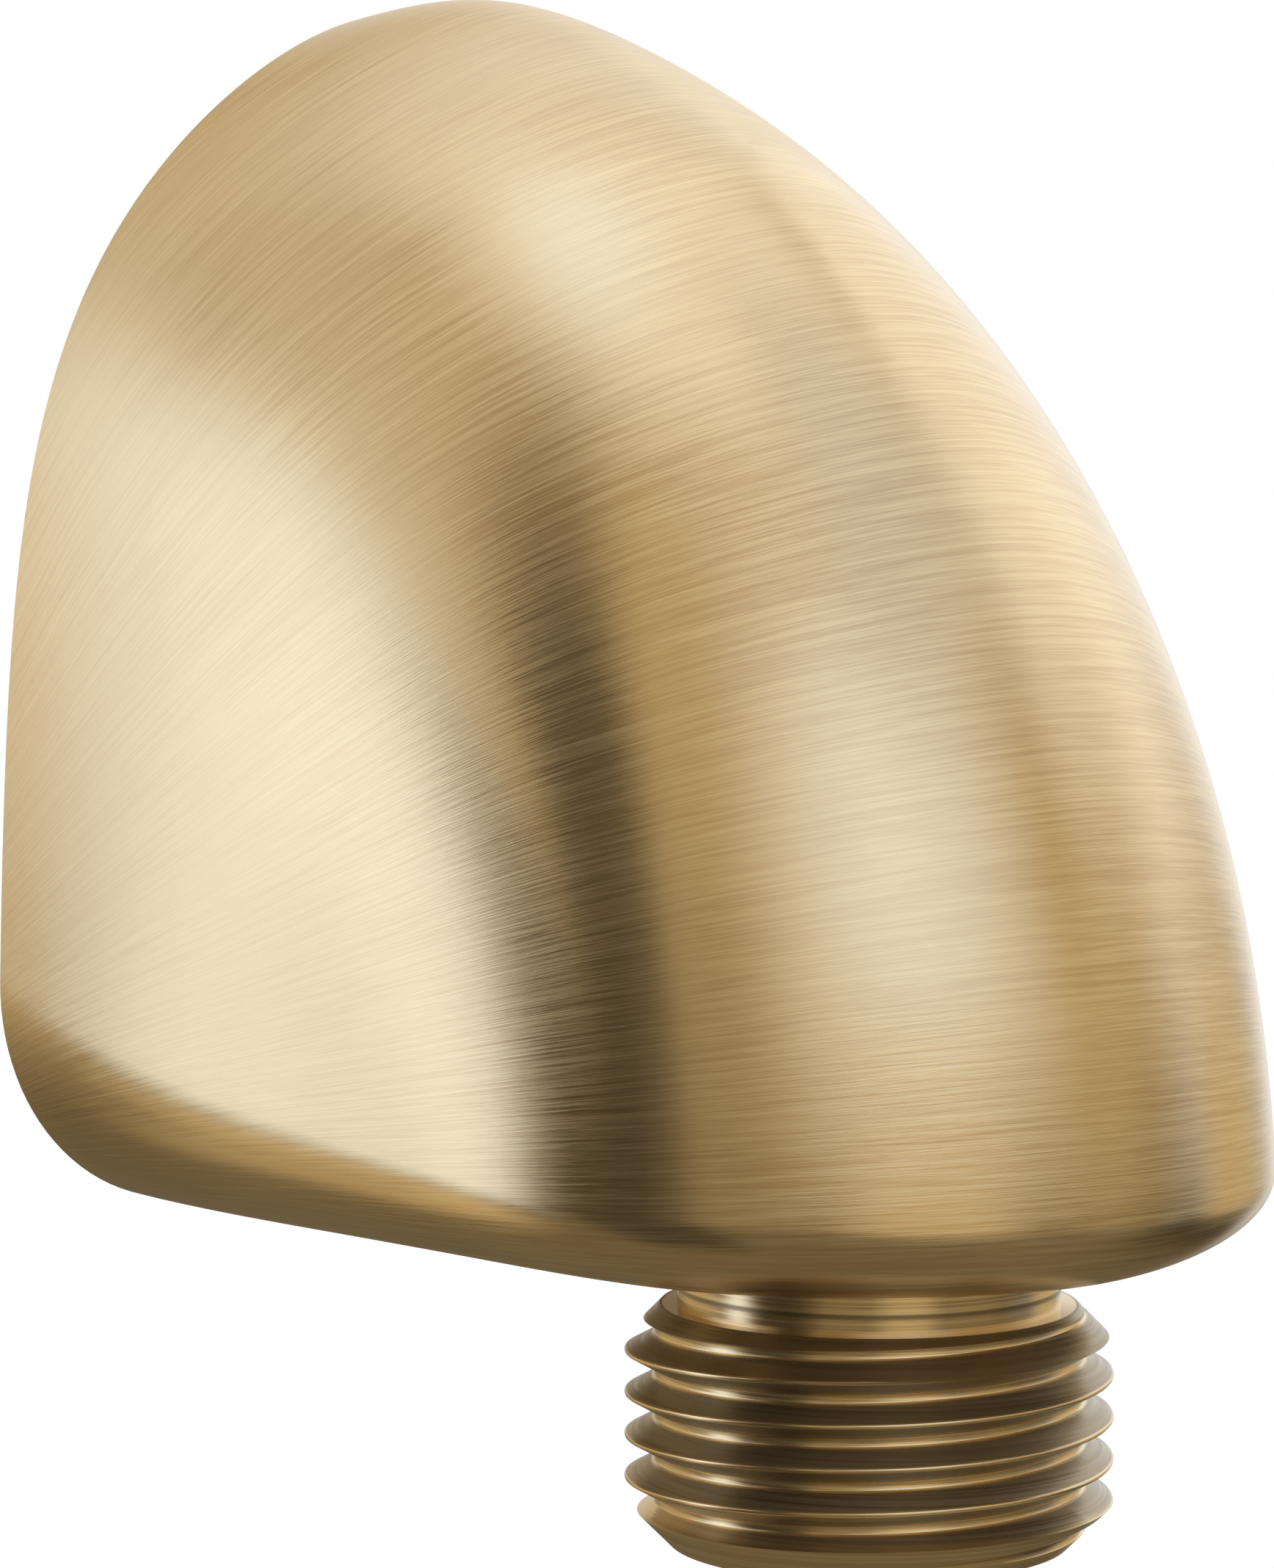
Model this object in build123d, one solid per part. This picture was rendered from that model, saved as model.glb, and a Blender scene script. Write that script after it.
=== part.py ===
from build123d import *

import os
from dataclasses import dataclass
from math import asin, cos, exp, hypot, pi, sin

# Wall outlet elbow: a one-piece brass casting that turns a wall supply down to a shower hose.
# Frame: origin where the inlet axis meets the wall, wall plane at Y = 0, nose towards -Y, +Z up.

# Outer form of the casting
BODY_WIDTH = 46.0
BODY_DEPTH = 50.0
BODY_HEIGHT = 54.8
INLET_HEIGHT = 24.0
OUTLET_SETBACK = 32.8

# Departure of each arch from a plain half ellipse, by rising powers of the squared reach
PLAN_FULLNESS = (-0.33, 2.03, -1.60)
WALL_FULLNESS = (0.34, 0.44, -0.73)

# Slight lift of the crown just in front of the wall
CROWN_LIFT = 7.3
CROWN_FADE = 20

# Rounded lower edge: generous in the corners at the wall, tighter round the nose
CORNER_RISE = 10.7
CORNER_INSET = 10.0
NOSE_RISE = 2.8
NOSE_INSET = 7.4
RISE_FADE = 21.5

# Hollow back
SHELL_WALL = 3.0
FLOOR_THICKNESS = 3.6
POCKET_NOSE_RISE = 2.0

# Inlet boss with its tapped half-inch hole, and the waterway from it to the outlet
BOSS_RADIUS = 12.8
BOSS_RECESS = 0.1
BOSS_LENGTH = 18.0
INLET_RADIUS = 9.3
INLET_DEPTH = 14.0
INLET_CHAMFER = 0.3
WATERWAY_RADIUS = 6.4
WATERWAY_WALL = 3.0

# Outlet: relief neck and half-inch threaded end, taken at its crest
NECK_RADIUS = 8.2
NECK_LENGTH = 2.0
THREAD_RADIUS = 10.45
THREAD_LENGTH = 10.2
THREAD_LEAD_IN = 1.85
THREAD_RUN_OUT = 1.5
OUTLET_CHAMFER = 0.8

# Fineness of the point grid that carries the skin
TURN_STEPS = 36
EDGE_STEPS = 10
SIDE_STEPS = 22
SKIN_TOLERANCE = 0.02

UNDERSIDE = -INLET_HEIGHT

STANDING = (Align.CENTER, Align.CENTER, Align.MIN)
HANGING = (Align.CENTER, Align.CENTER, Align.MAX)


@dataclass(frozen=True)
class Skin:
    """Domed skin against the wall: an arch that turns from the wall outline into the plan outline."""

    half_width: float
    depth: float
    height: float
    base: float
    corner_rise: float
    corner_inset: float
    nose_rise: float
    nose_inset: float

    def side(self, rise, turn):
        """Point on the dome; rise runs from the base to the apex, turn from wall to nose to wall."""
        across = cos(rise) * cos(turn)
        reach = 1 - across**2
        lift = sin(rise) ** 2
        full = 1.0
        for power, (plan, wall) in enumerate(zip(PLAN_FULLNESS, WALL_FULLNESS)):
            full += reach**power * (plan * reach + (wall - plan) * lift)
        forward = cos(rise) * sin(turn)
        crown = CROWN_LIFT * forward * lift**CROWN_FADE
        return self.half_width * across * full, -self.depth * forward, self.height * sin(rise) + crown

    def outward(self, rise, turn, step=1e-5):
        """Level direction that points out of the dome at a place on it."""
        x0, y0, _ = self.side(rise, turn - step)
        x1, y1, _ = self.side(rise, turn + step)
        length = hypot(x1 - x0, y1 - y0)
        return (y0 - y1) / length, (x1 - x0) / length

    def edge_round(self, turn):
        """Height and inset of the rounded lower edge, fading from the wall corner to the nose."""
        share = sin(turn)
        fade = exp(-share * self.depth / RISE_FADE)
        rise = self.nose_rise + (self.corner_rise - self.nose_rise) * fade
        inset = self.corner_inset + (self.nose_inset - self.corner_inset) * share
        return rise, inset

    def edge(self, share, turn):
        """Point on the rounded lower edge; share runs from the flat underside to the dome."""
        round_rise, round_inset = self.edge_round(turn)
        level = round_rise * (1 - cos(share * pi / 2))
        rise = asin(level / self.height)
        x, y, z = self.side(rise, turn)
        out_x, out_y = self.outward(rise, turn)
        inset = round_inset * (1 - sin(share * pi / 2))
        return x - out_x * inset, y - out_y * inset, z

    def meridian(self, turn):
        """Points from the underside up to the apex, in one column of the skin."""
        start = asin(self.edge_round(turn)[0] / self.height)
        low = [self.edge(step / EDGE_STEPS, turn) for step in range(EDGE_STEPS)]
        rises = [start + (pi / 2 - start) * step / SIDE_STEPS for step in range(SIDE_STEPS)]
        high = [self.side(rise, turn) for rise in rises]
        column = low + high + [(0, 0, self.height)]
        return [(x, y, z + self.base) for x, y, z in column]

    def solid(self):
        """Closed solid between the skin, the wall plane and the flat underside."""
        turns = [pi * step / TURN_STEPS for step in range(TURN_STEPS + 1)]
        skin = Face.make_surface_from_array_of_points(
            [self.meridian(turn) for turn in turns], tol=SKIN_TOLERANCE, min_deg=3, max_deg=5
        )
        rim = [edge for edge in skin.edges() if edge.length > SKIN_TOLERANCE]
        low = min(rim, key=lambda edge: edge.center().Z)
        sides = [edge for edge in rim if edge is not low]
        sill = Line(low @ 0, low @ 1)
        back = Face(Wire([*sides, sill]))
        under = Face(Wire([low, sill]))
        return Solid(Shell([skin, back, under]))


def along_y(radius, start, end):
    """Cylinder on the inlet axis between two distances in front of the wall."""
    place = Plane(origin=(0, -start, 0), x_dir=(1, 0, 0), z_dir=(0, -1, 0))
    return place * Cylinder(radius, end - start, align=STANDING)


def along_z(radius, low, high):
    """Cylinder on the outlet axis between two heights."""
    place = Pos(0, -OUTLET_SETBACK, low)
    return place * Cylinder(radius, high - low, align=STANDING)


def outlet_turning():
    """Relief neck and threaded end as one turning, down to the end face."""
    top = UNDERSIDE + FLOOR_THICKNESS / 2
    shoulder = UNDERSIDE - NECK_LENGTH
    end = shoulder - THREAD_LENGTH
    outline = Polyline(
        (0, top),
        (NECK_RADIUS, top),
        (NECK_RADIUS, shoulder),
        (THREAD_RADIUS - THREAD_RUN_OUT, shoulder),
        (THREAD_RADIUS, shoulder - THREAD_RUN_OUT),
        (THREAD_RADIUS, end + THREAD_LEAD_IN),
        (THREAD_RADIUS - THREAD_LEAD_IN, end),
        (0, end),
        close=True,
    )
    profile = Plane.XZ * make_face(outline)
    return Pos(0, -OUTLET_SETBACK, 0) * revolve(profile, Axis.Z)


def casting_core(outer):
    """Inlet boss, waterway tube and the web that carries it to the nose, trimmed to the skin."""
    tube = WATERWAY_RADIUS + WATERWAY_WALL
    web = Rectangle(2 * tube, INLET_HEIGHT, align=(Align.CENTER, Align.MAX)) + Circle(tube)
    front = Plane(origin=(0, -OUTLET_SETBACK, 0), x_dir=(1, 0, 0), z_dir=(0, -1, 0))
    core = along_y(BOSS_RADIUS, BOSS_RECESS, BOSS_RECESS + BOSS_LENGTH)
    core += along_y(tube, BOSS_RECESS, OUTLET_SETBACK)
    core += along_z(tube, UNDERSIDE, 0)
    core += front * extrude(web, amount=BODY_DEPTH - OUTLET_SETBACK)
    return core & outer


def waterway():
    """Tapped inlet, level passage, drop to the outlet and the chamfers at both mouths."""
    end = UNDERSIDE - NECK_LENGTH - THREAD_LENGTH
    mouth = Cone(INLET_RADIUS, INLET_RADIUS + INLET_CHAMFER, INLET_CHAMFER, align=HANGING)
    lip = Cone(WATERWAY_RADIUS + OUTLET_CHAMFER, WATERWAY_RADIUS, OUTLET_CHAMFER, align=STANDING)
    inlet_face = Plane(origin=(0, -BOSS_RECESS, 0), x_dir=(1, 0, 0), z_dir=(0, 1, 0))
    passage = along_y(INLET_RADIUS, BOSS_RECESS, BOSS_RECESS + INLET_DEPTH)
    passage += along_y(WATERWAY_RADIUS, BOSS_RECESS, OUTLET_SETBACK)
    passage += along_z(WATERWAY_RADIUS, end, 0)
    passage += Pos(0, -OUTLET_SETBACK, 0) * Sphere(WATERWAY_RADIUS)
    passage += inlet_face * mouth
    passage += Pos(0, -OUTLET_SETBACK, end) * lip
    return passage


def elbow_body():
    """The whole casting."""
    outer = Skin(
        half_width=BODY_WIDTH / 2,
        depth=BODY_DEPTH,
        height=BODY_HEIGHT,
        base=UNDERSIDE,
        corner_rise=CORNER_RISE,
        corner_inset=CORNER_INSET,
        nose_rise=NOSE_RISE,
        nose_inset=NOSE_INSET,
    ).solid()
    pocket = Skin(
        half_width=BODY_WIDTH / 2 - SHELL_WALL,
        depth=BODY_DEPTH - SHELL_WALL,
        height=BODY_HEIGHT - SHELL_WALL - FLOOR_THICKNESS,
        base=UNDERSIDE + FLOOR_THICKNESS,
        corner_rise=CORNER_RISE - SHELL_WALL,
        corner_inset=CORNER_INSET - SHELL_WALL,
        nose_rise=POCKET_NOSE_RISE,
        nose_inset=NOSE_INSET - SHELL_WALL,
    ).solid()
    body = outer - pocket + casting_core(outer) + outlet_turning() - waterway()
    return body


os.makedirs("parts", exist_ok=True)
export_step(elbow_body(), "parts/elbow_body.step")
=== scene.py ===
"""Studio scene of a brushed gold wall outlet elbow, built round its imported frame."""

from __future__ import annotations

import logging
import math
from dataclasses import dataclass, field, replace
from enum import Enum
from typing import Any, Mapping, Sequence, Union

import bmesh
import bpy
from mathutils import Matrix, Vector

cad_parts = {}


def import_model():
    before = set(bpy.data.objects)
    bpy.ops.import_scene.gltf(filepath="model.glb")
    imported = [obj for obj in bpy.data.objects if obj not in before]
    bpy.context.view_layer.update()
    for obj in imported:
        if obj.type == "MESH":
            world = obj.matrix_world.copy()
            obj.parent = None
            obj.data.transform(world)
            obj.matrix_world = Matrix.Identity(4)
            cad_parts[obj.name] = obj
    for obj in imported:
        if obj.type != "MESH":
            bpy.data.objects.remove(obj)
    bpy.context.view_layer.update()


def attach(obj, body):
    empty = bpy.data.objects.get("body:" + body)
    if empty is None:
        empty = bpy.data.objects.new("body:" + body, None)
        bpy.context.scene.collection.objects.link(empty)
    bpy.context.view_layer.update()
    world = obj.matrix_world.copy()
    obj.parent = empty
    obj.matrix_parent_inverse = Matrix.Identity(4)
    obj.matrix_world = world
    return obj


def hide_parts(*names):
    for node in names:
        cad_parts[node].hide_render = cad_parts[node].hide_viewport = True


LOG = logging.getLogger("wall_outlet_elbow")

MM = 0.001
FULL_TURN = 2 * math.pi

# Distances within which vertices become one, in millimetres
MERGE = 1e-4
SEAM_MERGE = 2e-4
GRID_MERGE = 1e-3

# Average of a noise
MIDDLE = 0.5

Form = bmesh.types.BMesh
Colour = tuple[float, float, float]
Point = tuple[float, float, float]


class Join(Enum):
    """How a second form is worked into a first one."""

    ADD = "UNION"
    CUT = "DIFFERENCE"
    KEEP_COMMON = "INTERSECT"


class Lie(Enum):
    """Which way the axis of a turned form points."""

    UPRIGHT = Matrix.Identity(4)
    INTO_WALL = Matrix.Rotation(math.radians(90), 4, "X")


def opaque(colour: Colour) -> tuple[float, float, float, float]:
    """Gives a colour its full alpha.

    Args:
        colour: The colour.

    Returns:
        The colour as a socket takes it.
    """
    return (*colour, 1.0)


def outline(points: Sequence[tuple[float, float]]) -> Form:
    """Starts a form from a line of radius and height pairs.

    Args:
        points: Radius and height of each corner, in millimetres.

    Returns:
        A form that holds the line as vertices and edges.
    """
    form = bmesh.new()
    corners = [form.verts.new((radius, 0.0, height)) for radius, height in points]
    for first, second in zip(corners, corners[1:]):
        form.edges.new((first, second))
    return form


def tidy(form: Form) -> Form:
    """Merges doubled vertices and turns all faces outwards.

    Args:
        form: The form to tidy, in millimetres.

    Returns:
        The same form.
    """
    bmesh.ops.remove_doubles(form, verts=form.verts[:], dist=MERGE)
    bmesh.ops.recalc_face_normals(form, faces=form.faces[:])
    if form.calc_volume(signed=True) < 0:
        bmesh.ops.reverse_faces(form, faces=form.faces[:])
    return form


def turned(points: Sequence[tuple[float, float]], steps: int, lie: Lie, at: Point) -> Form:
    """Turns a line of corners into a closed round form.

    Args:
        points: Radius and height of each corner, from axis to axis, in millimetres.
        steps: Number of faces round the form.
        lie: Direction of the axis.
        at: Place of the form's zero height, in millimetres.

    Returns:
        The closed form.
    """
    form = outline(points)
    geometry = form.verts[:] + form.edges[:]
    bmesh.ops.spin(
        form, geom=geometry, cent=(0, 0, 0), axis=(0, 0, 1), angle=FULL_TURN, steps=steps, use_merge=True
    )
    tidy(form)
    bmesh.ops.transform(form, matrix=Matrix.Translation(at) @ lie.value, verts=form.verts[:])
    return form


def joined(first: Form, second: Form, join: Join) -> Form:
    """Works a second closed form into a first one, closes open seams and frees both.

    Args:
        first: The form that is worked on.
        second: The form that is added, cut out or kept in common.
        join: What is done with the second form.

    Returns:
        The new form.
    """
    objects = []
    for name, form in (("worked", first), ("tool", second)):
        mesh = bpy.data.meshes.new(name)
        form.to_mesh(mesh)
        form.free()
        objects.append(bpy.data.objects.new(name, mesh))
        bpy.context.collection.objects.link(objects[-1])
    worked, tool = objects
    cutter = worked.modifiers.new("join", "BOOLEAN")
    cutter.operation = join.value
    cutter.solver = "EXACT"
    cutter.object = tool
    bpy.context.view_layer.update()
    graph = bpy.context.evaluated_depsgraph_get()
    result = bpy.data.meshes.new_from_object(worked.evaluated_get(graph))
    form = bmesh.new()
    form.from_mesh(result)
    bmesh.ops.remove_doubles(form, verts=form.verts[:], dist=SEAM_MERGE)
    seams = [line for line in form.edges if line.is_boundary]
    bmesh.ops.holes_fill(form, edges=seams, sides=0)
    spent = [item.data for item in objects]
    for item in objects:
        bpy.data.objects.remove(item)
    for mesh in [*spent, result]:
        bpy.data.meshes.remove(mesh)
    return form


@dataclass(frozen=True)
class Dome:
    """Domed form against the wall, with a rounded lower edge, in millimetres."""

    half_width: float = 23.0
    depth: float = 50.0
    height: float = 54.8
    base: float = -24.0
    corner_rise: float = 10.7
    corner_inset: float = 10.0
    nose_rise: float = 2.8
    nose_inset: float = 7.4
    rise_fade: float = 21.5
    plan_fullness: tuple[float, ...] = (-0.33, 2.03, -1.60)
    wall_fullness: tuple[float, ...] = (0.34, 0.44, -0.73)
    crown_lift: float = 7.3
    crown_fade: int = 20
    behind: float = 0.0
    inner_behind: float = 2.0
    turn_steps: int = 192
    edge_steps: int = 26
    side_steps: int = 110

    def shrunk(self, wall: float, floor: float, nose_rise: float) -> Dome:
        """Gives the form inside this one, open towards the wall.

        Args:
            wall: Thickness left at the sides and the top.
            floor: Thickness left below.
            nose_rise: Height of the inner rounded edge at the nose.

        Returns:
            The inner form, on a coarser grid.
        """
        return replace(
            self,
            half_width=self.half_width - wall,
            depth=self.depth - wall,
            height=self.height - wall - floor,
            base=self.base + floor,
            corner_rise=self.corner_rise - wall,
            corner_inset=self.corner_inset - wall,
            nose_rise=nose_rise,
            nose_inset=self.nose_inset - wall,
            behind=self.inner_behind,
            turn_steps=self.turn_steps // 2,
            side_steps=self.side_steps // 2,
        )

    def side(self, rise: float, turn: float) -> Vector:
        """Finds a point on the dome.

        Args:
            rise: Angle from the base up to the apex.
            turn: Angle from one wall edge over the nose to the other.

        Returns:
            The point, with height measured from the base.
        """
        across = math.cos(rise) * math.cos(turn)
        reach = 1 - across**2
        lift = math.sin(rise) ** 2
        full = 1.0
        for power, (plan, wall) in enumerate(zip(self.plan_fullness, self.wall_fullness)):
            full += reach**power * (plan * reach + (wall - plan) * lift)
        forward = math.cos(rise) * math.sin(turn)
        height = self.height * math.sin(rise) + self.crown_lift * forward * lift**self.crown_fade
        return Vector((self.half_width * across * full, -self.depth * forward, height))

    def outward(self, rise: float, turn: float, step: float = 1e-4) -> Vector:
        """Finds the level direction that points out of the dome.

        Args:
            rise: Angle from the base up to the apex.
            turn: Angle from one wall edge over the nose to the other.
            step: Small angle over which the direction is taken.

        Returns:
            A level unit vector.
        """
        along = self.side(rise, turn + step) - self.side(rise, turn - step)
        return Vector((-along.y, along.x, 0.0)).normalized()

    def edge_round(self, turn: float) -> tuple[float, float]:
        """Gives the rounded edge's height and inset at a turn.

        Args:
            turn: Angle from one wall edge over the nose to the other.

        Returns:
            Height and inset of the edge's quarter round.
        """
        share = math.sin(turn)
        fade = math.exp(-share * self.depth / self.rise_fade)
        rise = self.nose_rise + (self.corner_rise - self.nose_rise) * fade
        return rise, self.corner_inset + (self.nose_inset - self.corner_inset) * share

    def edge(self, share: float, turn: float) -> Vector:
        """Finds a point on the rounded lower edge.

        Args:
            share: From 0 at the flat underside to 1 at the dome.
            turn: Angle from one wall edge over the nose to the other.

        Returns:
            The point, with height measured from the base.
        """
        rounding, inset = self.edge_round(turn)
        quarter = share * math.pi / 2
        rise = math.asin(rounding * (1 - math.cos(quarter)) / self.height)
        return self.side(rise, turn) - self.outward(rise, turn) * inset * (1 - math.sin(quarter))

    def point(self, climb: float, turn: float) -> Vector:
        """Finds the skin's point at a grid place.

        Args:
            climb: Number of grid steps from the underside.
            turn: Angle from one wall edge over the nose to the other.

        Returns:
            The point in the part's own frame.
        """
        if climb < self.edge_steps:
            place = self.edge(climb / self.edge_steps, turn)
        else:
            start = math.asin(self.edge_round(turn)[0] / self.height)
            share = (climb - self.edge_steps) / self.side_steps
            place = self.side(start + (math.pi / 2 - start) * share, turn)
        return place + Vector((0, 0, self.base))

    def solid(self) -> Form:
        """Bends a grid into the skin and closes it at the wall and below.

        Returns:
            The closed form.
        """
        form = bmesh.new()
        rows = self.edge_steps + self.side_steps
        half = 0.5
        bmesh.ops.create_grid(form, x_segments=self.turn_steps, y_segments=rows, size=half)
        for corner in form.verts:
            turn = math.pi * min(max(corner.co.x + half, 0.0), 1.0)
            corner.co = self.point(round((corner.co.y + half) * rows), turn)
        bmesh.ops.remove_doubles(form, verts=form.verts[:], dist=GRID_MERGE)
        flat = GRID_MERGE
        low = [corner for corner in form.verts if abs(corner.co.z - self.base) < flat]
        sill = [corner for corner in low if abs(corner.co.y) < flat]
        form.edges.new(sorted(sill, key=lambda corner: corner.co.x))
        rim = [line for line in form.edges if line.is_boundary or line.is_wire]
        at_wall = [line for line in rim if all(abs(corner.co.y) < flat for corner in line.verts)]
        below = [line for line in rim if all(abs(corner.co.z - self.base) < flat for corner in line.verts)]
        back = bmesh.ops.contextual_create(form, geom=at_wall)["faces"]
        bmesh.ops.contextual_create(form, geom=below)
        if self.behind:
            moved = bmesh.ops.extrude_face_region(form, geom=back)["geom"]
            bmesh.ops.delete(form, geom=back, context="FACES_KEEP_BOUNDARY")
            ends = [item for item in moved if isinstance(item, bmesh.types.BMVert)]
            bmesh.ops.translate(form, vec=(0, self.behind, 0), verts=ends)
        bmesh.ops.recalc_face_normals(form, faces=form.faces[:])
        return form


@dataclass(frozen=True)
class PipeThread:
    """Right-hand half-inch pipe thread as a long screw form, in millimetres."""

    crest_radius: float = 10.45
    root_radius: float = 9.17
    pitch: float = 25.4 / 14
    crest_flat: float = 0.14
    root_flat: float = 0.30
    root_drop: float = 0.92
    edge_round: float = 0.05
    round_segments: int = 2
    ridge_angle: float = math.radians(20)
    turns_below: int = 1
    turns_above: int = 2
    steps_per_turn: int = 128

    def screw(self, low: float, high: float, crest_height: float, crest_bearing: float) -> Form:
        """Winds one turn's profile into a screw and cuts it to length.

        Args:
            low: Height of the lower cut.
            high: Height of the upper cut.
            crest_height: Height of a crest at the given bearing.
            crest_bearing: Angle round the axis at which that crest is measured.

        Returns:
            The closed form on the Z axis.
        """
        turns = math.ceil((high - low) / self.pitch) + self.turns_below + self.turns_above
        down = math.ceil((crest_height - low) / self.pitch) + self.turns_below
        start = crest_height - self.pitch * down
        half_crest = self.crest_flat / 2
        half_root = self.root_flat / 2
        form = outline(
            [
                (self.crest_radius, start + half_crest),
                (self.crest_radius, start - half_crest),
                (self.root_radius, start - self.root_drop + half_root),
                (self.root_radius, start - self.root_drop - half_root),
                (self.crest_radius, start - self.pitch + half_crest),
            ]
        )
        geometry = form.verts[:] + form.edges[:]
        turn = Matrix.Rotation(crest_bearing, 3, "Z")
        bmesh.ops.rotate(form, verts=form.verts[:], cent=(0, 0, 0), matrix=turn)
        bmesh.ops.spin(
            form,
            geom=geometry,
            cent=(0, 0, 0),
            axis=(0, 0, 1),
            dvec=(0, 0, self.pitch / self.steps_per_turn),
            angle=FULL_TURN * turns,
            steps=self.steps_per_turn * turns,
        )
        bmesh.ops.remove_doubles(form, verts=form.verts[:], dist=GRID_MERGE)
        for height, side in ((low, -1), (high, 1)):
            bmesh.ops.bisect_plane(
                form,
                geom=form.verts[:] + form.edges[:] + form.faces[:],
                plane_co=(0, 0, height),
                plane_no=(0, 0, side),
                clear_outer=True,
            )
        shared = [line for line in form.edges if line.is_manifold]
        ridge = [line for line in shared if line.calc_face_angle() > self.ridge_angle]
        bmesh.ops.bevel(
            form,
            geom=ridge,
            offset=self.edge_round,
            affect="EDGES",
            segments=self.round_segments,
            profile=0.5,
            material=-1,
        )
        bmesh.ops.holes_fill(form, edges=form.edges[:], sides=0)
        return tidy(form)


@dataclass(frozen=True)
class Outlet:
    """Relief neck and threaded end that take the shower hose, in millimetres."""

    setback: float = 32.8
    underside: float = -24.0
    neck_radius: float = 8.2
    neck_length: float = 2.0
    thread_length: float = 10.2
    lead_in: float = 1.85
    run_out: float = 1.5
    root_bury: float = 1.8
    overlap: float = 1.0
    spare: float = 0.1
    crest_height: float = -27.53
    crest_bearing: float = math.radians(-129.1)
    thread: PipeThread = field(default_factory=PipeThread)
    steps: int = 128

    def form(self) -> Form:
        """Builds the neck with the screw end trimmed by its chamfers.

        Returns:
            The closed form, reaching a little into the body's floor.
        """
        shoulder = self.underside - self.neck_length
        end = shoulder - self.thread_length
        wide = self.thread.crest_radius + self.spare
        envelope = turned(
            [
                (0.0, shoulder),
                (self.thread.crest_radius - self.run_out, shoulder),
                (wide, shoulder - self.run_out - self.spare),
                (wide, end + self.lead_in + self.spare),
                (self.thread.crest_radius - self.lead_in, end),
                (0.0, end),
            ],
            self.steps,
            Lie.UPRIGHT,
            (0, 0, 0),
        )
        low, high = end - self.overlap, shoulder + self.overlap
        screw = self.thread.screw(low, high, self.crest_height, self.crest_bearing)
        screw = joined(screw, envelope, Join.KEEP_COMMON)
        top = self.underside + self.root_bury
        foot = shoulder - self.overlap
        neck = turned(
            [(0.0, top), (self.neck_radius, top), (self.neck_radius, foot), (0.0, foot)],
            self.steps,
            Lie.UPRIGHT,
            (0, 0, 0),
        )
        form = joined(screw, neck, Join.ADD)
        bmesh.ops.translate(form, vec=(0, -self.setback, 0), verts=form.verts[:])
        return form


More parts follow.
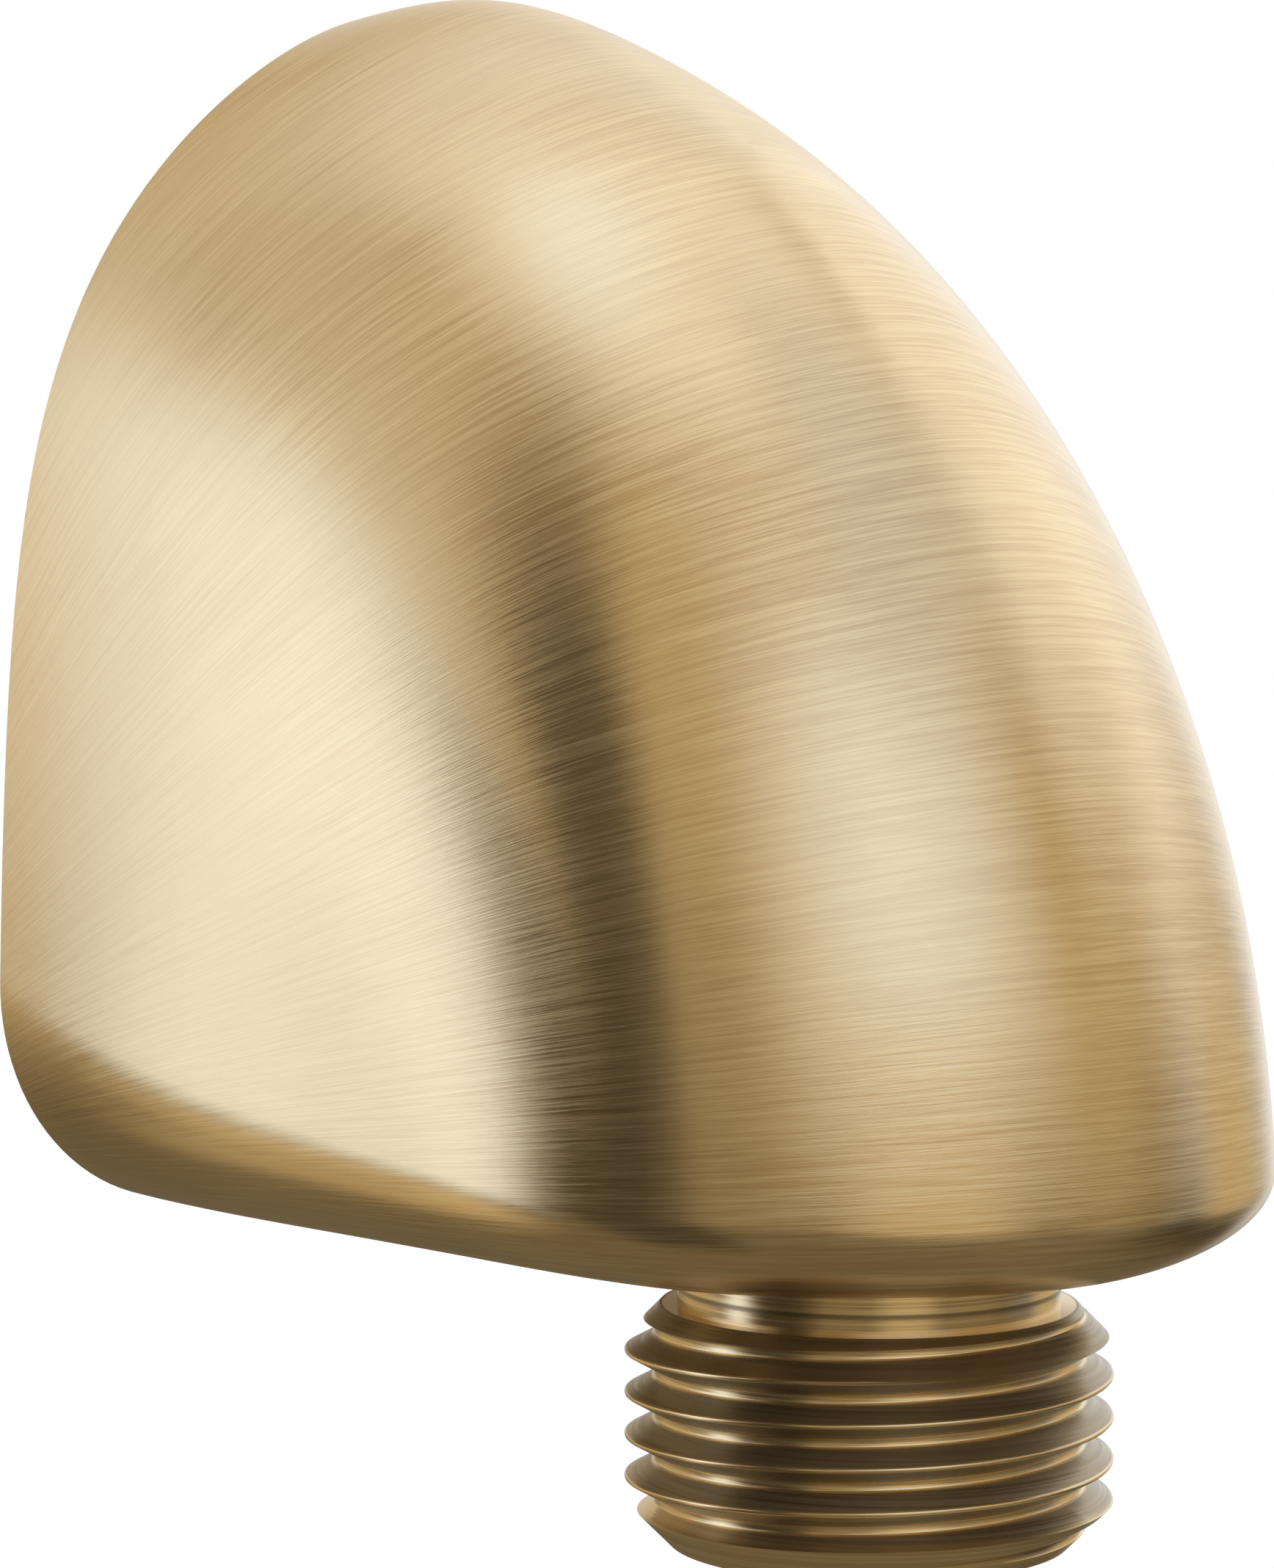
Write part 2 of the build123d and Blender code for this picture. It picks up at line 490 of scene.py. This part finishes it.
@dataclass(frozen=True)
class Waterway:
    """Inlet boss, tapped hole and the passage to the outlet, in millimetres."""

    boss_radius: float = 12.8
    boss_recess: float = 0.1
    boss_length: float = 18.0
    inlet_radius: float = 9.3
    inlet_depth: float = 14.0
    inlet_chamfer: float = 0.3
    bore_radius: float = 6.4
    wall: float = 3.0
    outlet_chamfer: float = 0.8
    tap_bury: float = 0.4
    tap_relief: float = 2.0
    drop_top: float = -0.3
    overlap: float = 1.2
    overshoot: float = 1.0
    skim: float = 0.02
    steps: int = 96
    end_steps: int = 16

    def core(self, outlet: Outlet, reach: float) -> Form:
        """Builds the boss, the level tube and the stem with its web to the nose.

        Args:
            outlet: The outlet that the stem stands over.
            reach: How far in front of the wall the tube and web run.

        Returns:
            The closed form, longer than the body and trimmed later.
        """
        tube = self.bore_radius + self.wall
        front = self.boss_recess
        boss_end = front + self.boss_length
        boss = turned(
            [(0, front), (self.boss_radius, front), (self.boss_radius, boss_end), (0, boss_end)],
            self.steps,
            Lie.INTO_WALL,
            (0, 0, 0),
        )
        inner = front + self.overlap
        pipe = [(0, inner), (tube, inner), (tube, reach), (0, reach)]
        level = turned(pipe, self.steps, Lie.INTO_WALL, (0, 0, 0))
        stem = self.stem(outlet, tube - self.skim, reach)
        return joined(joined(boss, level, Join.ADD), stem, Join.ADD)

    def stem(self, outlet: Outlet, half_width: float, reach: float) -> Form:
        """Builds the upright stem over the outlet and the web in front of it.

        Args:
            outlet: The outlet that the stem stands over.
            half_width: Half the stem's and the web's width.
            reach: How far in front of the wall the web runs.

        Returns:
            The closed form.
        """
        form = bmesh.new()
        low = outlet.underside + outlet.root_bury
        first = form.verts.new((half_width, -outlet.setback, low))
        bmesh.ops.spin(
            form,
            geom=[first],
            cent=(0, -outlet.setback, low),
            axis=(0, 0, 1),
            angle=math.pi,
            steps=self.steps // 2,
        )
        loose = [corner for corner in form.verts if len(corner.link_edges) < 2]
        ends = sorted(loose, key=lambda corner: corner.co.x)
        corners = [form.verts.new((end.co.x, -reach, low)) for end in ends]
        for near, far in (*zip(ends, corners), corners):
            form.edges.new((near, far))
        bmesh.ops.contextual_create(form, geom=form.edges[:])
        raised = bmesh.ops.extrude_face_region(form, geom=form.faces[:])["geom"]
        tops = [item for item in raised if isinstance(item, bmesh.types.BMVert)]
        bmesh.ops.translate(form, vec=(0, 0, self.drop_top - low), verts=tops)
        return tidy(form)

    def passages(self, outlet: Outlet) -> tuple[Form, Form, Form]:
        """Builds what is bored out: the inlet with its passage, the tap and the drop.

        Args:
            outlet: The outlet that the drop ends in.

        Returns:
            The level passage, the inlet thread and the drop, as closed forms.
        """
        mouth = self.boss_recess + self.inlet_chamfer
        start = -self.overshoot
        seat = self.boss_recess + self.inlet_depth
        flare = self.inlet_radius + mouth - start
        bore = self.bore_radius
        angles = [math.pi / 2 * step / self.end_steps for step in range(self.end_steps)]
        inlet = [(0, start), (flare, start), (self.inlet_radius, mouth), (self.inlet_radius, seat)]
        nose = [(bore * math.cos(angle), outlet.setback + bore * math.sin(angle)) for angle in angles]
        level_line = [*inlet, (bore, seat), *nose, (0, outlet.setback + bore)]
        level = turned(level_line, self.steps, Lie.INTO_WALL, (0, 0, 0))
        thread = PipeThread(root_radius=self.inlet_radius - self.tap_bury)
        tap = thread.screw(start, seat - self.tap_relief, 0.0, 0.0)
        bmesh.ops.transform(tap, matrix=Lie.INTO_WALL.value, verts=tap.verts[:])
        end = outlet.underside - outlet.neck_length - outlet.thread_length
        low = end - self.overshoot
        bore -= self.skim / 2
        lip = bore + self.outlet_chamfer + self.overshoot
        top = self.drop_top
        drop_line = [(0, low), (lip, low), (bore, end + self.outlet_chamfer), (bore, top), (0, top)]
        drop = turned(drop_line, self.steps, Lie.UPRIGHT, (0, -outlet.setback, 0))
        return level, tap, drop


class Value:
    """A number on a node board, with Python's own arithmetic."""

    def __init__(self, board: Board, socket: bpy.types.NodeSocket) -> None:
        """Wraps a socket.

        Args:
            board: The board that the socket is on.
            socket: The output socket that carries the number.
        """
        self.board = board
        self.socket = socket

    def math(self, operation: str, *others: Term) -> Value:
        """Adds a Math node with this number as its first input.

        Args:
            operation: The node's operation.
            others: The inputs after the first.

        Returns:
            The node's result.
        """
        inputs = dict(enumerate((self, *others)))
        return self.board.value(self.board.node("ShaderNodeMath", {"operation": operation}, inputs))

    def __add__(self, other: Term) -> Value:
        """Adds a term.

        Args:
            other: The term.

        Returns:
            The sum.
        """
        return self.math("ADD", other)

    __radd__ = __add__

    def __sub__(self, other: Term) -> Value:
        """Subtracts a term.

        Args:
            other: The term.

        Returns:
            This number less the term.
        """
        return self.math("SUBTRACT", other)

    def __rsub__(self, other: float) -> Value:
        """Subtracts this number from a plain one.

        Args:
            other: The plain number.

        Returns:
            The plain number less this one.
        """
        return self * -1.0 + other

    def __mul__(self, other: Term) -> Value:
        """Multiplies by a term.

        Args:
            other: The term.

        Returns:
            The product.
        """
        return self.math("MULTIPLY", other)

    __rmul__ = __mul__

    def hypot(self, other: Value) -> Value:
        """Gives the length of the vector of two numbers.

        Args:
            other: The second number.

        Returns:
            The length.
        """
        return (self * self + other * other).math("SQRT")

    def bearing(self, other: Term) -> Value:
        """Gives the angle whose sine and cosine go as this number and another.

        Args:
            other: The number that goes as the cosine.

        Returns:
            The angle, in radians.
        """
        return self.math("ARCTAN2", other)

    def ramp(self, low: float, high: float) -> Value:
        """Eases from 0 to 1 between two values.

        Args:
            low: Value at which the result is 0.
            high: Value at which it is 1.

        Returns:
            The eased share.
        """
        settings = {"interpolation_type": "SMOOTHSTEP"}
        inputs = {"Value": self, "From Min": low, "From Max": high}
        return self.board.value(self.board.node("ShaderNodeMapRange", settings, inputs), "Result")


Term = Union[Value, float]


class Board:
    """A node tree, with one method that adds any node."""

    def __init__(self, tree: bpy.types.NodeTree) -> None:
        """Clears a node tree and takes it over.

        Args:
            tree: The tree of a material or a world.
        """
        self.tree = tree
        tree.nodes.clear()

    def node(
        self,
        kind: str,
        settings: Mapping[str, Any] | None = None,
        inputs: Mapping[Union[str, int], Any] | None = None,
    ) -> bpy.types.Node:
        """Adds a node, sets it up and joins its sockets.

        Args:
            kind: The node's type.
            settings: Properties of the node.
            inputs: Socket names or numbers with their values or links.

        Returns:
            The node.
        """
        node = self.tree.nodes.new(kind)
        for name, value in (settings or {}).items():
            setattr(node, name, value)
        for name, value in (inputs or {}).items():
            socket = node.inputs[name]
            if isinstance(value, Value):
                self.tree.links.new(value.socket, socket)
            elif isinstance(value, bpy.types.NodeSocket):
                self.tree.links.new(value, socket)
            else:
                socket.default_value = value
        return node

    def value(self, node: bpy.types.Node, output: Union[str, int] = 0) -> Value:
        """Wraps one of a node's outputs as a number.

        Args:
            node: The node.
            output: Name or number of the output.

        Returns:
            The number.
        """
        return Value(self, node.outputs[output])

    def mixed(self, share: Value, first: Any, second: Any) -> bpy.types.NodeSocket:
        """Mixes two colours.

        Args:
            share: Share of the second colour, held between 0 and 1.
            first: The first colour or its socket.
            second: The second colour or its socket.

        Returns:
            The socket of the mixed colour.
        """
        settings = {"data_type": "RGBA", "clamp_factor": True}
        return self.node("ShaderNodeMix", settings, {0: share, 6: first, 7: second}).outputs[2]

    def noise(self, along: Sequence[Term], detail: float, roughness: float) -> Value:
        """Adds a noise over three numbers.

        Args:
            along: The three coordinates.
            detail: Number of finer layers.
            roughness: Weight of the finer layers.

        Returns:
            The noise, about 0.5 on average.
        """
        place = self.node("ShaderNodeCombineXYZ", None, dict(enumerate(along)))
        inputs = {"Vector": place.outputs[0], "Scale": 1.0, "Detail": detail, "Roughness": roughness}
        return self.value(self.node("ShaderNodeTexNoise", {"noise_dimensions": "3D"}, inputs), "Fac")


@dataclass(frozen=True)
class BrushedGold:
    """Champagne gold with a fine hand-brushed grain; lengths in millimetres."""

    name: str = "brushed_gold"
    pale: Colour = (0.94, 0.77, 0.49)
    deep: Colour = (0.74, 0.57, 0.35)
    # Painted shade: a dark colour laid on the thread's flanks and run-out in place of the shade in its
    # grooves
    flank_shade_colour: Colour = (0.36, 0.29, 0.19)

    # How strongly the grain shows, on the sides and on the nose
    grain_low: float = 0.3
    grain_high: float = 0.7
    contrast: float = 0.8
    nose_contrast: float = 1.1
    nose_from: float = -10.0
    nose_to: float = -35.0

    # Slow changes of tone; a noise's detail is the number and weight of its finer layers
    cloud_scale: float = 0.06
    cloud_detail: tuple[float, float] = (2.0, 0.5)

    # Shine
    roughness: float = 0.21
    grain_roughness: float = 0.12
    cloud_roughness: float = 0.06
    flank_roughness: float = 0.1
    anisotropy: float = 0.8
    grain_turn: float = 0.25

    # Fan of brushed lines round an axis behind the wall
    grain_behind_wall: float = 20.0
    grain_height: float = -24.0
    lines_per_radian: float = 600.0
    line_length: float = 6.0
    fine_share: float = 0.75
    fine_detail: tuple[float, float] = (3.0, 0.7)
    coarse_detail: tuple[float, float] = (2.0, 0.6)
    coarse_lines: float = 0.4
    coarse_stretch: float = 0.6

    # Rings on the turned outlet
    turned_below: float = -24.3
    turned_blend: float = 0.2
    turned_pitch: float = 0.12
    turned_drift: float = 0.015
    turned_detail: tuple[float, float] = (2.0, 0.6)

    # Painted shade on the flanks and run-out of the outlet's thread
    flank_margin: float = 0.02
    root_blend: float = 0.2
    crest_blend: float = 0.12
    cone_inner: float = 0.05
    cone_outer: float = 0.15
    shoulder_blend: float = 0.3
    end_blend: float = 0.2

    # Relief of the grain
    bump: float = 0.06
    bump_depth: float = 0.1

    def material(self, outlet: Outlet) -> bpy.types.Material:
        """Builds the material.

        Args:
            outlet: The outlet whose thread flanks get painted shade.

        Returns:
            The material, on Object coordinates.
        """
        material = bpy.data.materials.new(self.name)
        material.use_nodes = True
        board = Board(material.node_tree)
        here = board.node("ShaderNodeTexCoord").outputs["Object"]
        split = board.node("ShaderNodeSeparateXYZ", None, {0: here})
        across, forward, up = (board.value(split, axis) * (1 / MM) for axis in range(3))
        grain = self.grain(board, across, forward, up)
        # Mask of the thread's flanks and run-out, used for painted shade and a rougher shine
        flank_shade = self.flanks(outlet, across, forward, up)
        cloud = board.noise([place * self.cloud_scale for place in (across, forward, up)], *self.cloud_detail)
        at_nose = forward.ramp(self.nose_from, self.nose_to)
        strength = at_nose * (self.nose_contrast - self.contrast) + self.contrast
        brushed = board.mixed((grain - MIDDLE) * strength + cloud, opaque(self.deep), opaque(self.pale))
        rough = (grain - MIDDLE) * self.grain_roughness + (cloud - MIDDLE) * self.cloud_roughness
        relief = {"Strength": self.bump, "Distance": self.bump_depth * MM, "Height": grain}
        shader = board.node(
            "ShaderNodeBsdfPrincipled",
            None,
            {
                # Painted shade: the thread's flanks and run-out are mixed towards a dark colour
                "Base Color": board.mixed(flank_shade, brushed, opaque(self.flank_shade_colour)),
                "Metallic": 1.0,
                "Roughness": rough + flank_shade * self.flank_roughness + self.roughness,
                "Anisotropic": self.anisotropy,
                "Anisotropic Rotation": self.grain_turn,
                "Normal": board.node("ShaderNodeBump", None, relief).outputs[0],
            },
        )
        board.node("ShaderNodeOutputMaterial", None, {"Surface": shader.outputs[0]})
        return material

    def flanks(self, outlet: Outlet, across: Value, forward: Value, up: Value) -> Value:
        """Finds the thread's flanks and run-out, where shade is painted darker than on its crests and roots.

        Args:
            outlet: The outlet with the thread.
            across: Place along X, in millimetres.
            forward: Place along Y, in millimetres.
            up: Place along Z, in millimetres.

        Returns:
            1 on the thread's flanks or the run-out cone, where shade is painted, and 0 elsewhere.
        """
        shoulder = outlet.underside - outlet.neck_length
        end = shoulder - outlet.thread_length + outlet.lead_in
        root, crest = outlet.thread.root_radius, outlet.thread.crest_radius
        radius = across.hypot(forward + outlet.setback)
        off_root = radius.ramp(root + self.flank_margin, root + self.root_blend)
        off_crest = radius.ramp(crest - self.flank_margin, crest - self.crest_blend)
        below_shoulder = up.ramp(shoulder, shoulder - self.shoulder_blend)
        above_end = up.ramp(end - self.end_blend, end + self.end_blend)
        off_cone = radius + up - (crest - outlet.run_out + shoulder)
        cone = off_cone.math("ABSOLUTE").ramp(self.cone_outer, self.cone_inner)
        return (off_root * off_crest * below_shoulder * above_end).math("MAXIMUM", cone)

    def grain(self, board: Board, across: Value, forward: Value, up: Value) -> Value:
        """Draws the grain: a fan of fine lines on the body, turned rings on the outlet.

        Args:
            board: The material's board.
            across: Place along X, in millimetres.
            forward: Place along Y, in millimetres.
            up: Place along Z, in millimetres.

        Returns:
            The grain, about 0.5 on average.
        """
        behind = self.grain_behind_wall - forward
        above = up - self.grain_height
        fan = above.bearing(behind) * self.lines_per_radian
        away = above.hypot(behind) * (1 / self.line_length)
        aside = across * (1 / self.line_length)
        wide = self.coarse_stretch
        fine = board.noise((fan, away, aside), *self.fine_detail)
        coarse_place = (fan * self.coarse_lines, away * wide, aside * wide)
        coarse = board.noise(coarse_place, *self.coarse_detail)
        brushed = fine * self.fine_share + coarse * (1 - self.fine_share)
        drift = (across * self.turned_drift, forward * self.turned_drift)
        rings = board.noise((up * (1 / self.turned_pitch), *drift), *self.turned_detail)
        below = up.ramp(self.turned_below + self.turned_blend, self.turned_below - self.turned_blend)
        return (brushed + (rings - brushed) * below).ramp(self.grain_low, self.grain_high)


@dataclass(frozen=True)
class ElbowBody:
    """The one-piece casting: domed shell, inlet boss, waterway and threaded outlet.

    Lengths are in millimetres up to the finished mesh, which is in metres.
    """

    finish: BrushedGold
    skin: Dome = field(default_factory=Dome)
    outlet: Outlet = field(default_factory=Outlet)
    waterway: Waterway = field(default_factory=Waterway)
    wall: float = 3.0
    floor: float = 3.6
    pocket_nose_rise: float = 2.0
    core_nose_rise: float = 2.4
    crisp: float = math.radians(24)
    facing_wall: float = 0.9999
    node: str = "elbow_body"
    piece: str = "elbow_casting"
    slot: str = "brushed_gold"

    def form(self) -> Form:
        """Joins the shell, the core and the outlet and bores the waterway.

        Returns:
            The casting as one closed form.
        """
        pocket = self.skin.shrunk(self.wall, self.floor, self.pocket_nose_rise)
        half_wall = self.skin.shrunk(self.wall / 2, self.floor / 2, self.core_nose_rise)
        shell = joined(self.skin.solid(), pocket.solid(), Join.CUT)
        core = self.waterway.core(self.outlet, self.skin.depth)
        core = joined(core, half_wall.solid(), Join.KEEP_COMMON)
        core = joined(core, self.outlet.form(), Join.ADD)
        level, tap, drop = self.waterway.passages(self.outlet)
        form = joined(shell, core, Join.ADD)
        for passage in (level, tap, drop):
            form = joined(form, passage, Join.CUT)
        return form

    def build(self) -> bpy.types.Object:
        """Makes the casting's object and dresses it.

        Returns:
            The piece, at the origin, in metres.
        """
        form = self.form()
        bmesh.ops.scale(form, vec=(MM, MM, MM), verts=form.verts[:])
        for face in form.faces:
            face.smooth = face.normal.y < self.facing_wall
        for line in form.edges:
            line.smooth = line.is_manifold and line.calc_face_angle() < self.crisp
        mesh = bpy.data.meshes.new(self.piece)
        form.to_mesh(mesh)
        form.free()
        mesh.materials.append(self.finish.material(self.outlet))
        piece = bpy.data.objects.new(self.piece, mesh)
        bpy.context.collection.objects.link(piece)
        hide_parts(self.node)
        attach(piece, "root")
        return piece


class Tone(Enum):
    """Colours of the studio's background, boxes, walls and flags."""

    WHITE = (1.0, 1.0, 1.0)
    DAYLIGHT = (1.0, 1.1, 1.25)
    GREY = (0.8, 0.8, 0.8)
    SAND = (0.7, 0.62, 0.48)
    BRONZE = (0.6, 0.48, 0.28)

    def at(self, strength: float) -> Colour:
        """Gives the tone at a strength.

        Args:
            strength: What the tone is multiplied by.

        Returns:
            The colour.
        """
        red, green, blue = self.value
        return red * strength, green * strength, blue * strength


@dataclass(frozen=True)
class SoftPanel:
    """A soft-edged panel of the studio round the part, as the part sees it, in degrees.

    Bearings are measured from the camera, to its right, and heights from the horizon.
    """

    name: str
    bearing: float
    height: float
    half_width: float
    half_height: float
    soft_width: float
    soft_height: float
    tone: Tone
    strength: float

    def mask(self, ahead: Value, right: Value, rise: Value) -> Value:
        """Gives the panel's share in a direction.

        Args:
            ahead: Part of the direction towards the camera.
            right: Part of the direction to the right of the camera.
            rise: Height of the direction above the horizon, in degrees.

        Returns:
            1 inside the panel and 0 outside it.
        """
        cosine, sine = math.cos(math.radians(self.bearing)), math.sin(math.radians(self.bearing))
        aside = (right * cosine - ahead * sine).bearing(right * sine + ahead * cosine) * math.degrees(1)
        level = self.share(aside, self.half_width, self.soft_width)
        return level * self.share(rise - self.height, self.half_height, self.soft_height)

    @staticmethod
    def share(offset: Value, half: float, soft: float) -> Value:
        """Fades from the panel's middle to its edges in one direction.

        Args:
            offset: Distance from the middle.
            half: Distance at which the share is about a half.
            soft: Half the width of the fading.

        Returns:
            1 inside the edges and 0 outside them.
        """
        return offset.math("ABSOLUTE").ramp(half + soft, max(half - soft, 0.0))


@dataclass(frozen=True)
class Studio:
    """Pale floor, white background with soft panels before it, and the camera; places in metres."""

    floor_height: float = -0.6
    floor_size: float = 6.0
    floor_colour: Colour = Tone.WHITE.at(0.96)
    floor_light: Colour = Tone.WHITE.at(1.05)
    camera_place: Point = (-0.1415, -0.1912, 0.01025)
    camera_pitch: float = math.radians(86.21)
    camera_bearing: float = math.radians(39.1)
    lens: float = 115.03
    sensor: float = 36.0
    nearest: float = 0.01
    panels: tuple[SoftPanel, ...] = (
        SoftPanel("walls", 0, -25, 200, 90, 10, 10, Tone.BRONZE, 0.9),
        SoftPanel("ground", 0, -90, 200, 88, 10, 10, Tone.BRONZE, 0.3),
        SoftPanel("left_box", -100, 15, 27, 20, 15, 5, Tone.DAYLIGHT, 1.1),
        SoftPanel("low_card", -110, -30, 15, 10, 10, 10, Tone.BRONZE, 1.5),
        SoftPanel("dark_flag", -48, 15, 12, 35, 5, 25, Tone.BRONZE, 0.1),
        SoftPanel("low_flag", -52, -25, 22, 35, 10, 5, Tone.BRONZE, 0.1),
        SoftPanel("front_box", 20, 30, 20, 20, 25, 10, Tone.DAYLIGHT, 1.0),
        SoftPanel("right_wall", 100, 45, 25, 20, 15, 15, Tone.GREY, 1.1),
        SoftPanel("right_box", 145, 20, 40, 40, 25, 5, Tone.GREY, 1.3),
        SoftPanel("right_flag", 120, -22, 35, 20, 20, 20, Tone.BRONZE, 0.1),
        SoftPanel("corner_flag", -150, -22, 45, 12, 10, 5, Tone.BRONZE, 0.25),
        SoftPanel("back_wall", -160, 55, 50, 10, 10, 5, Tone.GREY, 1.1),
        SoftPanel("crown_box", -90, 80, 45, 10, 25, 5, Tone.DAYLIGHT, 1.1),
        SoftPanel("left_wall", -105, 40, 40, 15, 20, 10, Tone.SAND, 0.85),
        SoftPanel("left_core", -88, 0, 5, 20, 10, 10, Tone.DAYLIGHT, 1.15),
        SoftPanel("front_low", 20, -5, 15, 10, 10, 10, Tone.BRONZE, 1.1),
        SoftPanel("crown_wall", 55, 60, 35, 20, 15, 10, Tone.GREY, 0.85),
        SoftPanel("front_wall", -25, 5, 10, 15, 15, 15, Tone.BRONZE, 0.5),
        SoftPanel("side_wall", -130, 0, 25, 15, 15, 15, Tone.BRONZE, 1.0),
        SoftPanel("right_card", 130, -5, 15, 10, 10, 10, Tone.BRONZE, 1.0),
    )

    def build(self) -> None:
        """Builds the floor, the world and the camera."""
        self.floor()
        self.world()
        self.camera()
        bpy.context.scene.view_settings.view_transform = "Standard"

    def floor(self) -> None:
        """Lays the pale floor, which the metal doesn't mirror."""
        form = bmesh.new()
        bmesh.ops.create_grid(form, x_segments=1, y_segments=1, size=self.floor_size / 2)
        bmesh.ops.translate(form, vec=(0, 0, self.floor_height), verts=form.verts[:])
        mesh = bpy.data.meshes.new("floor")
        form.to_mesh(mesh)
        form.free()
        material = bpy.data.materials.new("pale_floor")
        material.use_nodes = True
        board = Board(material.node_tree)
        matt = board.node("ShaderNodeBsdfDiffuse", None, {"Color": opaque(self.floor_colour)})
        board.node("ShaderNodeOutputMaterial", None, {"Surface": matt.outputs[0]})
        mesh.materials.append(material)
        floor = bpy.data.objects.new("floor", mesh)
        floor.visible_glossy = False
        bpy.context.collection.objects.link(floor)

    def world(self) -> None:
        """Sets a white background, for the camera and in the metal, and hangs the panels before it.

        The camera doesn't see the panels, and the floor has a plain white light of its own.
        """
        world = bpy.data.worlds.new("studio")
        world.use_nodes = True
        board = Board(world.node_tree)
        toward = board.node("ShaderNodeTexCoord").outputs["Generated"]
        split = board.node("ShaderNodeSeparateXYZ", None, {0: toward})
        x, y, z = (board.value(split, axis) for axis in range(3))
        sine, cosine = math.sin(self.camera_bearing), math.cos(self.camera_bearing)
        ahead = x * -sine + y * -cosine
        right = x * cosine + y * -sine
        rise = z.math("ARCSINE") * math.degrees(1)
        white = opaque(Tone.WHITE.value)
        colour = white
        for panel in self.panels:
            share = panel.mask(ahead, right, rise)
            colour = board.mixed(share, colour, opaque(panel.tone.at(panel.strength)))
            LOG.info("panel %s", panel.name)
        path = board.node("ShaderNodeLightPath")
        kinds = ("Is Camera Ray", "Is Glossy Ray", "Is Transmission Ray")
        camera, glossy, through = (board.value(path, kind) for kind in kinds)
        colour = board.mixed(camera, colour, white)
        colour = board.mixed(camera + glossy + through, opaque(self.floor_light), colour)
        light = board.node("ShaderNodeBackground", None, {"Color": colour, "Strength": 1.0})
        board.node("ShaderNodeOutputWorld", None, {"Surface": light.outputs[0]})
        bpy.context.scene.world = world

    def camera(self) -> None:
        """Sets the camera at the photograph's angle."""
        lens = bpy.data.cameras.new("camera")
        lens.sensor_width = self.sensor
        lens.lens = self.lens
        lens.clip_start = self.nearest
        holder = bpy.data.objects.new("camera", lens)
        holder.location = self.camera_place
        holder.rotation_euler = (self.camera_pitch, 0.0, -self.camera_bearing)
        bpy.context.collection.objects.link(holder)
        bpy.context.scene.camera = holder


def main() -> None:
    """Loads the frame, builds the casting and sets the studio round it."""
    logging.basicConfig(level=logging.INFO, format="%(name)s: %(message)s")
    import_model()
    casting = ElbowBody(BrushedGold()).build()
    LOG.info("piece %s with %d faces", casting.name, len(casting.data.polygons))
    Studio().build()


if __name__ == "__main__":
    main()
